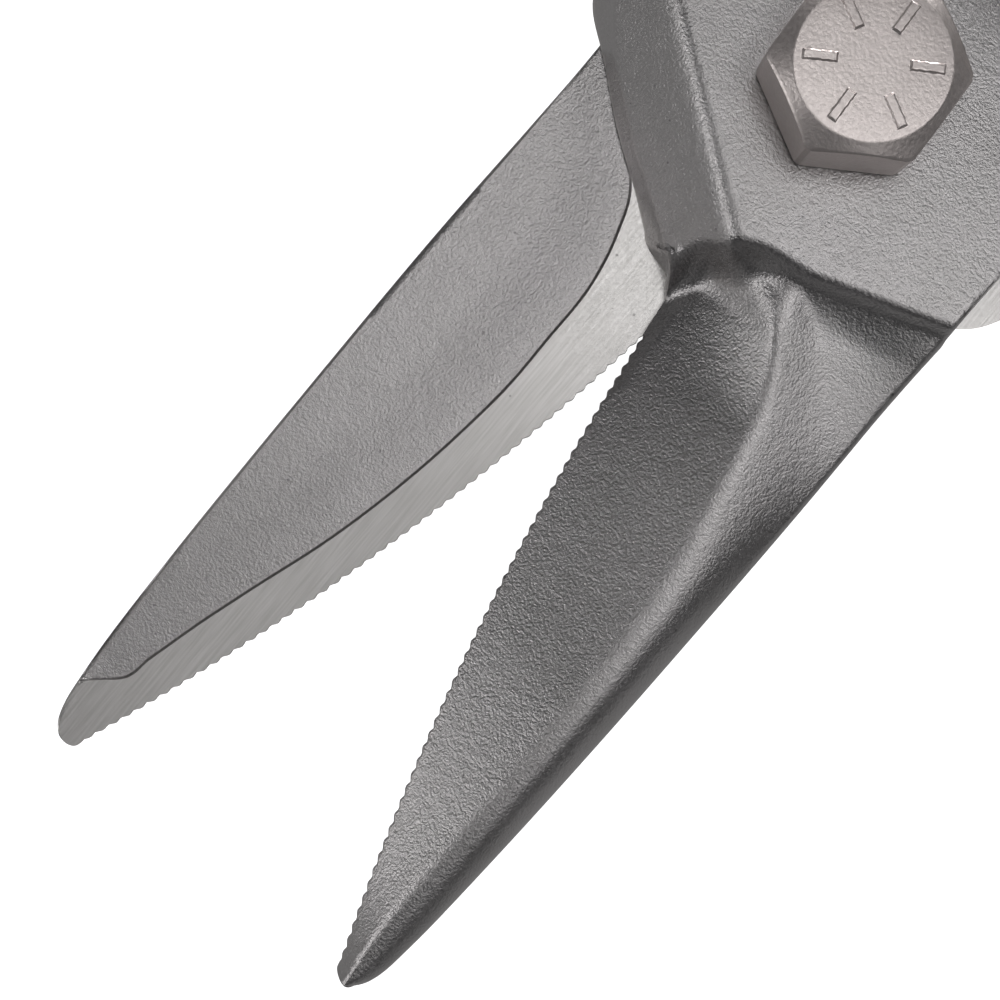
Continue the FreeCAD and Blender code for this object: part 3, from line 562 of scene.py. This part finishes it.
place(blade("upper_forging", False), "upper_blade", "front_blade", "blade_steel", MATERIALS["blade_steel"])
place(blade("lower_forging", True), "lower_blade", "rear_blade", "blade_steel", MATERIALS["blade_steel"])


# ------------------------------------------------------------------ pivot bolt

HEX_APOTHEM = 11.11 / 2
HEAD_TURN = 33.5                       # direction of a corner of the head, in degrees
HEAD_FLAT = 4.83                       # radius of the flat top
CHAMFER_SLOPE = 0.577
BAR_INNER, BAR_OUTER, BAR_WIDTH, BAR_HEIGHT = 2.3, 4.25, 0.45, 0.14


def pivot_bolt():
    """Hexagon bolt turned ring by ring: raised bars on a flat top, chamfer, sides, washer face, shank."""
    low, high = [corner[2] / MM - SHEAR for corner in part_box("pivot_bolt")]
    top = high - BAR_HEIGHT
    around = np.linspace(0, 2 * np.pi, 361)[:-1]
    sector = (around - math.radians(HEAD_TURN) + np.pi / 6) % (np.pi / 3) - np.pi / 6
    corner_rounding = 0.12
    rounding = corner_rounding * np.exp(-(sector / 0.02) ** 2)
    hexagon = HEX_APOTHEM / np.cos(np.pi / 6 - np.abs(sector)) - rounding
    rings = []
    for radius in np.concatenate([np.linspace(0.05, BAR_OUTER + 0.25, 64), np.linspace(4.55, HEAD_FLAT, 5)]):
        aside = np.abs(radius * np.sin(sector)) - BAR_WIDTH / 2
        endwise = np.maximum(BAR_INNER - radius, radius - BAR_OUTER)
        distance = np.maximum(np.maximum(aside, endwise), 0)
        bar = BAR_HEIGHT * (1 - ease(distance, 0.0, 0.11))
        crown = 0.10 * (radius / HEAD_FLAT) ** 4
        rings.append((np.full(360, radius), top + bar - crown))
    for share in np.linspace(0, 1, 12)[1:]:
        radius = HEAD_FLAT + (hexagon - HEAD_FLAT) * share
        rings.append((radius, top - 0.10 - CHAMFER_SLOPE * (radius - HEAD_FLAT) - 0.04 * (share > 0.95)))
    corner_drop = 0.10 + CHAMFER_SLOPE * (hexagon - HEAD_FLAT)
    for share in np.linspace(0, 1, 10)[1:]:
        start = top - corner_drop - 0.14
        rings.append((hexagon, start + (BOSS_TOP + 0.45 - start) * share))
    under = ((HEX_APOTHEM * 0.97, 0.32), (HEX_APOTHEM * 0.94, 0.3), (HEX_APOTHEM * 0.94, 0.02), (3.2, 0.02))
    rings += [(np.minimum(hexagon, radius), np.full(360, BOSS_TOP + rise)) for radius, rise in under]
    for radius, level in ((3.16, 6.9), (3.16, -6.0), (3.16, low + 0.5), (2.75, low), (0.4, low)):
        rings.append((np.full(360, radius), np.full(360, level)))
    places = np.array([np.stack([radius * np.cos(around), radius * np.sin(around), level], 1)
                       for radius, level in rings])
    count, sides = places.shape[:2]
    index = np.arange(count * sides).reshape(count, sides)
    following = np.roll(index, -1, axis=1)
    faces = np.stack([index[:-1], index[1:], following[1:], following[:-1]], -1).reshape(-1, 4).tolist()
    faces += [index[0].tolist(), index[-1][::-1].tolist()]
    return mesh_piece("hexagon_bolt", places.reshape(-1, 3), faces, sharp=28)


place(pivot_bolt(), "upper_blade", "pivot_bolt", "bolt_steel", MATERIALS["bolt_steel"])


# ------------------------------------------------------------------ return spring

COIL_TURNS = 12
WIRE = 0.6                             # radius of the wire
WIRE_SIDES = 12
SPRING_ARC = 50.0                      # radius of the bow about the link pivot
CLOSED_SHARE = 0.045                   # share of the bow taken by the closed coils at each end


def coil_spring():
    """Round wire wound about a bow that runs from seat to seat round the link pivot."""
    low, high = [Vector(corner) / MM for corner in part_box("return_spring")]
    level = (low.z + high.z) / 2 - SHEAR
    coil = (high.z - low.z) / 2 - WIRE
    half = math.asin(high.x / (SPRING_ARC + coil + WIRE)) - 0.015
    steps = COIL_TURNS * 28
    share = np.linspace(0, 1, steps)
    spread = np.interp(share, [0, 0.10, 0.90, 1], [0, CLOSED_SHARE, 1 - CLOSED_SHARE, 1])
    bow = -np.pi / 2 - half + 2 * half * spread
    turn = 2 * np.pi * COIL_TURNS * share
    radius = SPRING_ARC + coil * np.cos(turn)
    line = np.stack([radius * np.cos(bow), LINK_Y + radius * np.sin(bow), level + coil * np.sin(turn)], 1)
    ahead = np.gradient(line, axis=0)
    ahead = ahead / np.linalg.norm(ahead, axis=1)[:, None]
    spoke = np.stack([np.cos(turn) * np.cos(bow), np.cos(turn) * np.sin(bow), np.sin(turn)], 1)
    side = np.cross(ahead, spoke)
    side = side / np.linalg.norm(side, axis=1)[:, None]
    rim = np.linspace(0, 2 * np.pi, WIRE_SIDES + 1)[:-1]
    places = (line[:, None] + WIRE * np.cos(rim)[None, :, None] * np.cross(side, ahead)[:, None]
              + WIRE * np.sin(rim)[None, :, None] * side[:, None])
    index = np.arange(steps * WIRE_SIDES).reshape(steps, WIRE_SIDES)
    following = np.roll(index, -1, axis=1)
    faces = np.stack([index[:-1], index[1:], following[1:], following[:-1]], -1).reshape(-1, 4).tolist()
    faces += [index[0].tolist(), index[-1][::-1].tolist()]
    piece = mesh_piece("coil_spring", places.reshape(-1, 3), faces, sharp=60)
    piece.data.materials.append(MATERIALS["spring_steel"])
    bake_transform(piece)
    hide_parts("return_spring")


coil_spring()


# ------------------------------------------------------------------ CAD nodes with broken edges

def broken_edges(node, width_mm, body, slot, segments=2):
    """A copy of a CAD node whose sharp edges are rounded."""
    mesh = frame["nodes"][node].data.copy()
    piece = bpy.data.objects.new("fine_" + node, mesh)
    bpy.context.scene.collection.objects.link(piece)
    work = bmesh.new()
    work.from_mesh(mesh)
    bmesh.ops.remove_doubles(work, verts=work.verts, dist=2e-6)
    bmesh.ops.dissolve_limit(work, angle_limit=math.radians(0.6), verts=work.verts, edges=work.edges)
    work.to_mesh(mesh)
    work.free()
    bevel = piece.modifiers.new("edges", "BEVEL")
    bevel.width = width_mm * MM
    bevel.segments = segments
    bevel.limit_method = "ANGLE"
    bevel.angle_limit = math.radians(32)
    bevel.use_clamp_overlap = True
    bevel.harden_normals = False
    settle(piece)
    tidy_mesh(piece, 50)
    return place(piece, body, node, slot, MATERIALS[slot])


BODY_OF = {node: body for body, nodes in BODIES.items() for node in nodes}
SLOT_OF = {entry["node"]: entry["material_slot"] for entry in frame["record"]["subparts"]}
# How wide the sharp edges of each part are rounded, in millimetres.
BREAKS = {"pivot_nut": 0.2, "pivot_washer": 0.15, "nut_insert": 0.1, "front_handle": 0.4,
          "rear_handle": 0.4, "front_grip": 0.5, "rear_grip": 0.5, "front_tang_rivet": 0.15,
          "rear_tang_rivet": 0.15, "front_tang_washers": 0.1, "rear_tang_washers": 0.1,
          "link_rivet": 0.15, "link_bush": 0.1, "link_washers": 0.1, "front_spring_seat": 0.3,
          "rear_spring_seat": 0.3, "latch_lever": 0.2, "latch_rivet": 0.12, "latch_washer": 0.08,
          "latch_keeper": 0.12}
for node, width in BREAKS.items():
    broken_edges(node, width, BODY_OF[node], SLOT_OF[node])


# ------------------------------------------------------------------ studio

CENTRE = Vector((0.27, 34.6, SHEAR)) * MM      # middle of the picture, on the shear plane
VIEW_TURN = 220.0                              # turn of the picture about the view line
VIEW_HEIGHT = 99.0                             # camera above the shear plane

camera_data = bpy.data.cameras.new("camera")
camera_data.sensor_width = 36.0
camera_data.lens = 52.2
camera_data.clip_start = 0.005
camera = bpy.data.objects.new("camera", camera_data)
camera.location = CENTRE + Vector((0, 0, VIEW_HEIGHT * MM))
camera.rotation_euler = (0, 0, math.radians(VIEW_TURN))
bpy.context.scene.collection.objects.link(camera)
bpy.context.scene.camera = camera

RIGHT = Vector((math.cos(math.radians(VIEW_TURN)), math.sin(math.radians(VIEW_TURN)), 0))
UP = Vector((-RIGHT.y, RIGHT.x, 0))


def lamp(name, turn, tilt, size, power):
    """A square softbox seen in that direction of the picture, tilted from the view line, both in degrees."""
    turn, tilt = math.radians(turn), math.radians(tilt)
    data = bpy.data.lights.new(name, "AREA")
    data.shape = "RECTANGLE"
    data.size = data.size_y = size
    data.energy = power
    box = bpy.data.objects.new(name, data)
    aside = LAMP_DISTANCE * math.sin(tilt)
    box.location = (CENTRE + RIGHT * aside * math.cos(turn) + UP * aside * math.sin(turn)
                    + Vector((0, 0, LAMP_DISTANCE * math.cos(tilt))))
    box.rotation_euler = (CENTRE - box.location).normalized().to_track_quat("-Z", "Y").to_euler()
    bpy.context.scene.collection.objects.link(box)


LAMP_DISTANCE = 0.7
lamp("over_far", 72, 16, 0.20, 0.31)
lamp("over_right", 0, 16, 0.20, 0.26)
lamp("over_near", 216, 16, 0.20, 0.12)
lamp("crest", 144, 16, 0.14, 0.17)
lamp("right", 0, 34, 0.30, 0.5)
lamp("near_right", 300, 34, 0.30, 0.3)
lamp("left", 184, 60, 0.30, 0.8)
lamp("far", 72, 80, 0.35, 4.0)


def surroundings():
    """A dim room above and the pale floor's bounce from below."""
    world = bpy.data.worlds.new("studio")
    world.use_nodes = True
    tree = world.node_tree
    background = tree.nodes["Background"]
    background.inputs["Strength"].default_value = 1.0
    place = tree.nodes.new("ShaderNodeTexCoord")
    split = tree.nodes.new("ShaderNodeSeparateXYZ")
    ramp = tree.nodes.new("ShaderNodeValToRGB")
    tree.links.new(place.outputs["Generated"], split.inputs[0])
    tree.links.new(split.outputs["Z"], ramp.inputs["Fac"])
    tree.links.new(ramp.outputs["Color"], background.inputs["Color"])
    ramp.color_ramp.elements[0].position = 0.0
    ramp.color_ramp.elements[0].color = (FLOOR_BOUNCE, FLOOR_BOUNCE, FLOOR_BOUNCE, 1)
    ramp.color_ramp.elements[1].position = 0.15
    ramp.color_ramp.elements[1].color = (ROOM, ROOM, ROOM * 1.05, 1)
    bpy.context.scene.world = world


FLOOR_BOUNCE = 0.33
ROOM = 0.05
surroundings()
bpy.context.scene.view_settings.view_transform = "Standard"


def floor():
    """Plain pale floor under the nut's face, lit from within so that it stays near white."""
    mesh = bpy.data.meshes.new("floor")
    reach = 1.5
    corners = [(-reach, -reach, 0), (reach, -reach, 0), (reach, reach, 0), (-reach, reach, 0)]
    mesh.from_pydata(corners, [], [(0, 1, 2, 3)])
    ground = bpy.data.objects.new("floor", mesh)
    ground.location = (0, 0, cad_bounds[0][2] - 0.0005)
    bpy.context.scene.collection.objects.link(ground)
    s = Shader("pale_floor")
    tone = s.noise(60.0, detail=2.0)
    s.surface.inputs["Emission Color"].default_value = (1, 1, 1, 1)
    s.surface.inputs["Emission Strength"].default_value = 1.0
    s.finish(colour=s.mix(tone, (0.80, 0.80, 0.80), (0.84, 0.84, 0.84)), roughness=0.9)
    mesh.materials.append(s.material)
    ground.visible_diffuse = False
    ground.visible_glossy = False


floor()
